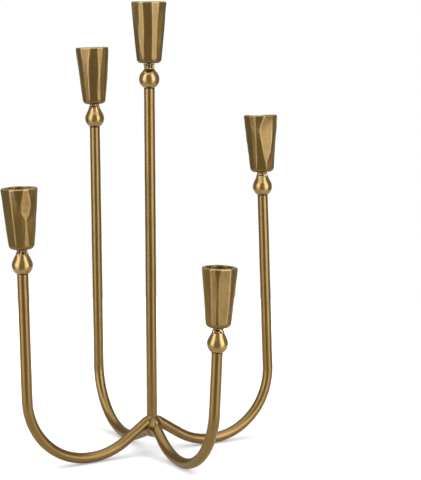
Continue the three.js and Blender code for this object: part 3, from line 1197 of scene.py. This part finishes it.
STATIONS = {
    "left": Station(
        Collar("left", seed=3),
        CandleCup("left", 55.2, (
            (-78, -78, -78, -78, -78, -78, -78, -78), (-31, -30, -29, -28, -27, -26, -25, -25),
            (-17, -13, -7, 0, 5, 4, 3, 2), (14, 9, 4, 4, 20, 18, 16, 15), (28, 33, 38, 34, 22, 25, 29, 33),
            (60, 61, 62, 60, 58, 59, 60, 62), (84, 83, 82, 83, 84, 84, 85, 85),
        ), front=248.0, rim_corner=17.0, seed=11, swells=((1, (0.0, 0.0)), (2, (0.0, 0.0))))),
    "front": Station(
        Collar("front", seed=4),
        CandleCup("front", 53.6, (
            (-66, -68, -68, -66, -66), (-30, -29, -29, -30, -30), (-15, -9, -8, -10, -11),
            (4, -1, -2, -2, 0), (38, 42, 43, 42, 40), (68, 66, 64, 66, 70), (90, 88, 86, 88, 90),
        ), front=240.3, seed=12, swells=((1, (0.0, -1.0, -1.0)), (2, (0.0, 1.0, 1.0))))),
    "right": Station(
        Collar("right", seed=5),
        CandleCup("right", 56.0, (
            (-70, -70, -70, -70, -70, -70, -70, -70, -70, -70, -70),
            (-40, -40, -38, -38, -38, -38, -38, -38, -38, -40, -40),
            (-18, -18, -18, -19, -20, -20, -20, -21, -21, -22, -24),
            (14, 8, 0, -5, -3, 1, 4, 7, 10, 17, 21),
            (50, 50, 49, 48, 47, 46, 44, 42, 33, 25, 23),
            (64, 64, 64, 63, 62, 60, 58, 57, 56, 56, 56),
            (86, 86, 85, 85, 84, 84, 83, 83, 84, 84, 84),
        ), front=238.6, rim_corner=17.0, seed=13, swells=(
            (1, (-2.5, -2.5)), (2, (2.2, 2.2)),
            (3, (3.0, 3.0, 3.0, 2.4, 0.0, 0.0, 0.0, 0.0, 0.0, 0.0, 0.0)),
            (4, (-4.0, -4.0, -4.0, -3.0, 0.6, 0.6, 0.6, 0.6, 0.0, 0.0, 0.0))))),
    "back": Station(
        Collar("back", seed=6),
        CandleCup("back", 56.1, (
            (-68, -66, -66, -66, -66), (-42, -43, -44, -43, -42), (-6, -14, -19, -20, -21),
            (18, 20, 21, 16, 17), (38, 34, 27, 28, 31), (50, 49, 50, 52, 54), (70, 66, 65, 66, 72),
        ), front=245.1, rim_corner=17.2, seed=14, swells=(
            (1, (0.0, -1.5, -2.6, -2.6, -2.6)), (2, (0.0, 1.5, 2.4, 2.4, 2.4))))),
    "stem": Station(
        Collar("stem", neck=4.7, flare=0.9, scar=0.75, seed=7),
        CandleCup("stem", 56.6, (
            (-60, -55, -45, -42, -44), (-33, -35, -38, -34, -29), (-20, -19, -19, -22, -22),
            (9, 11, 13, 12, 12), (36, 33, 31, 31, 34), (58, 56, 55, 54, 56), (80, 82, 80, 79, 80),
        ), front=243.0, rim_corner=16.7, seed=15, swells=((3, (0.6, 0.6)), (4, (-0.6, -0.4, 0.0))))),
}


def stem_route(bottom: float, top: float) -> Route:
    """Upright centre line of the stem's tube, between two heights."""
    z = np.linspace(bottom, top, 120)
    points = np.stack([0.0 * z, 0.0 * z, z], -1)
    directions = np.tile([0.0, 0.0, 1.0], (len(z), 1))
    aside = np.tile([0.0, 1.0, 0.0], (len(z), 1))
    return Route(points, directions, aside, 0.0 * z)


# ---- studio ----


@dataclass(frozen=True)
class Softbox:
    """A rectangular light, by the direction that it stands in seen from the object.

    Attributes:
        name: the light's name.
        azimuth: direction from the stem, in degrees.
        distance: from the stem, in metres.
        height: of its centre above the floor, in metres.
        width: in metres.
        tall: in metres.
        brightness: radiance, as a multiple of the white floor's.
    """

    name: str
    azimuth: float
    distance: float
    height: float
    width: float
    tall: float
    brightness: float

    def build(self) -> None:
        """The light, facing the middle of the object; one straight overhead faces down."""
        light = bpy.data.lights.new(self.name, "AREA")
        light.shape = "RECTANGLE"
        light.size, light.size_y = self.width, self.tall
        light.energy = self.brightness * math.pi * self.width * self.tall
        made = bpy.data.objects.new(self.name, light)
        bpy.context.scene.collection.objects.link(made)
        turn = math.radians(self.azimuth)
        place = np.array([self.distance * math.cos(turn), self.distance * math.sin(turn), self.height])
        facing = unit(np.array([-place[0], -place[1], 0.0])) if self.distance else np.array([0.0, 0.0, -1.0])
        up = np.array([0.0, 0.0, 1.0]) if self.distance else np.array([0.0, 1.0, 0.0])
        right = np.cross(facing, up)
        rotation = np.stack([right, up, -facing], 1)
        matrix = np.eye(4)
        matrix[:3, :3] = rotation
        matrix[:3, 3] = place
        made.matrix_world = Matrix(matrix.tolist())
        made.visible_camera = False


@dataclass(frozen=True)
class Studio:
    """Camera, white floor, two tall softboxes, a low light under each, one overhead, and a dim room.

    Attributes:
        camera_place: in millimetres, in the part's frame.
        heading: the view's direction from +Y towards +X.
        pitch: below the horizon.
        roll: about the view's direction.
        lens: in millimetres, on a 36 mm sensor.
        floor_radius: in metres.
        floor_back: how far the floor's middle is behind the object, in metres.
        floor_glow: radiance added to the floor near the object; up to three times that far from it.
        floor_grey: the floor's colour in what the metal reflects.
        floor_top: height of its upper face, in millimetres.
        floor_bottom: height of its lower face, in millimetres.
        room: radiance of the room that the metal reflects.
    """

    camera_place: Triple = (-625.1, -1227.1, 388.0)
    heading: float = 29.3475
    pitch: float = 7.5635
    roll: float = -0.152
    lens: float = 110.386
    floor_radius: float = 0.58
    floor_back: float = 0.3
    floor_glow: float = 0.25
    floor_grey: Colour = (0.8, 0.76, 0.68)
    floor_top: float = -0.3
    floor_bottom: float = -12.0
    room: float = 0.4

    def camera(self) -> None:
        """Camera with its right, up and back directions as the columns of its matrix."""
        heading, pitch, roll = (math.radians(a) for a in (self.heading, self.pitch, self.roll))
        forward = np.array([
            math.sin(heading) * math.cos(pitch), math.cos(heading) * math.cos(pitch), -math.sin(pitch),
        ])
        level = unit(np.cross(forward, [0.0, 0.0, 1.0]))
        right = level * math.cos(roll) + np.cross(level, forward) * math.sin(roll)
        matrix = np.eye(4)
        matrix[:3, :3] = np.stack([right, np.cross(right, forward), -forward], 1)
        matrix[:3, 3] = np.array(self.camera_place) * MM
        data = bpy.data.cameras.new("camera")
        data.sensor_width = 36.0
        data.lens = self.lens
        made = bpy.data.objects.new("camera", data)
        bpy.context.scene.collection.objects.link(made)
        made.matrix_world = Matrix(matrix.tolist())
        bpy.context.scene.camera = made

    def floor(self) -> None:
        """Round white slab just under the feet, with a faint glow that keeps it white to its edge."""
        shares = np.array([0.0001, 0.3, 0.6, 0.8, 0.9, 0.999, 1.0, 1.0, 0.999, 0.5, 0.0001])
        rings = (shares * self.floor_radius / MM)[:, None]
        heights = np.where(np.arange(len(shares)) < 7, self.floor_top, self.floor_bottom)[:, None]
        angles = round_angles(96)[None, ::-1]
        heading = math.radians(self.heading)
        x = rings * np.cos(angles) + self.floor_back / MM * math.sin(heading)
        y = rings * np.sin(angles) + self.floor_back / MM * math.cos(heading)
        points = np.stack(np.broadcast_arrays(x, y, heights), -1)
        made = Skin(points).piece("floor")
        graph = Graph("white_floor")
        place = graph.node("ShaderNodeTexCoord").outputs["Object"]
        paper = graph.ramp(graph.noise(place, 9.0), 0.3, 0.7, 0.78, 0.82)
        tones = {k: graph.sum(paper, tone, "MULTIPLY") for k, tone in enumerate((0.97, 0.98, 1.06))}
        white = graph.node("ShaderNodeCombineColor", tones).outputs[0]
        out = graph.node("ShaderNodeVectorMath", {0: place}, operation="LENGTH").outputs["Value"]
        glow = graph.ramp(out, 0.12, 0.6, self.floor_glow, 3.0 * self.floor_glow)
        bright = graph.node("ShaderNodeBsdfPrincipled", {
            "Base Color": white, "Roughness": 0.9, "Specular IOR Level": 0.0,
            "Emission Color": (1.0, 1.0, 1.0, 1.0), "Emission Strength": glow,
        })
        grey = graph.node("ShaderNodeBsdfDiffuse", {"Color": (*self.floor_grey, 1.0)})
        seen = graph.node("ShaderNodeLightPath").outputs["Is Camera Ray"]
        shader = graph.node("ShaderNodeMixShader", {0: seen, 1: grey.outputs[0], 2: bright.outputs[0]})
        graph.node("ShaderNodeOutputMaterial", {"Surface": shader.outputs[0]})
        made.data.materials.append(graph.material)

    def surroundings(self) -> None:
        """White to the eye, a dim warm room to the metal and to the floor."""
        world = bpy.data.worlds.new("studio")
        world.use_nodes = True
        tree = world.node_tree
        tree.nodes.clear()
        backgrounds = []
        for colour, strength in (((1.0, 0.96, 0.74, 1.0), self.room), ((1.0, 1.0, 1.0, 1.0), 1.0)):
            made = tree.nodes.new("ShaderNodeBackground")
            made.inputs[0].default_value = colour
            made.inputs[1].default_value = strength
            backgrounds.append(made.outputs[0])
        seen = tree.nodes.new("ShaderNodeLightPath").outputs["Is Camera Ray"]
        mix = tree.nodes.new("ShaderNodeMixShader")
        output = tree.nodes.new("ShaderNodeOutputWorld")
        tree.links.new(seen, mix.inputs[0])
        tree.links.new(backgrounds[0], mix.inputs[1])
        tree.links.new(backgrounds[1], mix.inputs[2])
        tree.links.new(mix.outputs[0], output.inputs[0])
        bpy.context.scene.world = world

    def build(self) -> None:
        """Sets the studio up, with the camera first."""
        self.camera()
        self.floor()
        self.surroundings()
        facing = 270.0 - self.heading
        boxes = (
            Softbox("softbox_left", facing - 55.0, 1.3, 1.0, 1.0, 2.0, 3.0),
            Softbox("softbox_right", facing + 53.0, 1.3, 1.0, 1.0, 2.0, 3.35),
            Softbox("bounce_left", facing - 55.0, 1.3, -0.35, 1.0, 0.7, 1.5),
            Softbox("bounce_right", facing + 53.0, 1.3, -0.35, 1.0, 0.7, 1.9),
            Softbox("overhead", 0.0, 0.0, 1.9, 2.2, 2.2, 1.5),
        )
        for box in boxes:
            box.build()
        scene = bpy.context.scene
        scene.view_settings.view_transform = "Standard"
        scene.view_settings.look = "None"
        LOG.info("studio: camera, floor and %d lights", len(boxes))


# ---- build ----


def main() -> None:
    """Builds the studio, then the object from the hub upwards."""
    logging.basicConfig(level=logging.INFO, format="%(name)s: %(message)s")
    Studio().build()
    finishes = {brass.name: brass.material() for brass in BRASSES}
    finishes["fixing_steel"] = SteelFinish().material()
    tube = finishes["tube_brass"]
    for node in frame["nodes"].values():
        node.data.materials.clear()
        node.data.materials.append(finishes["fixing_steel"])
    low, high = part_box("stem_tube")
    stem = stem_route(low.z / MM - STEM_SUNK, high.z / MM)
    fit_piece(BentTube("stem", seed=20).build(stem), tube, "tube_brass", "stem_tube")
    STATIONS["stem"].build(stem.end_axes(), finishes)
    routes = {arm.side: arm.route() for arm in ARMS}
    fit_piece(Hub().build(routes), tube, "tube_brass", "hub_core")
    for number, arm in enumerate(ARMS):
        route = routes[arm.side]
        made = BentTube(f"arm_{arm.side}", seed=30 + number, cope=COPES[arm.side]).build(route)
        fit_piece(made, tube, "tube_brass", f"arm_tube_{arm.side}")
        STATIONS[arm.side].build(route.end_axes(), finishes)


if __name__ == "__main__":
    main()
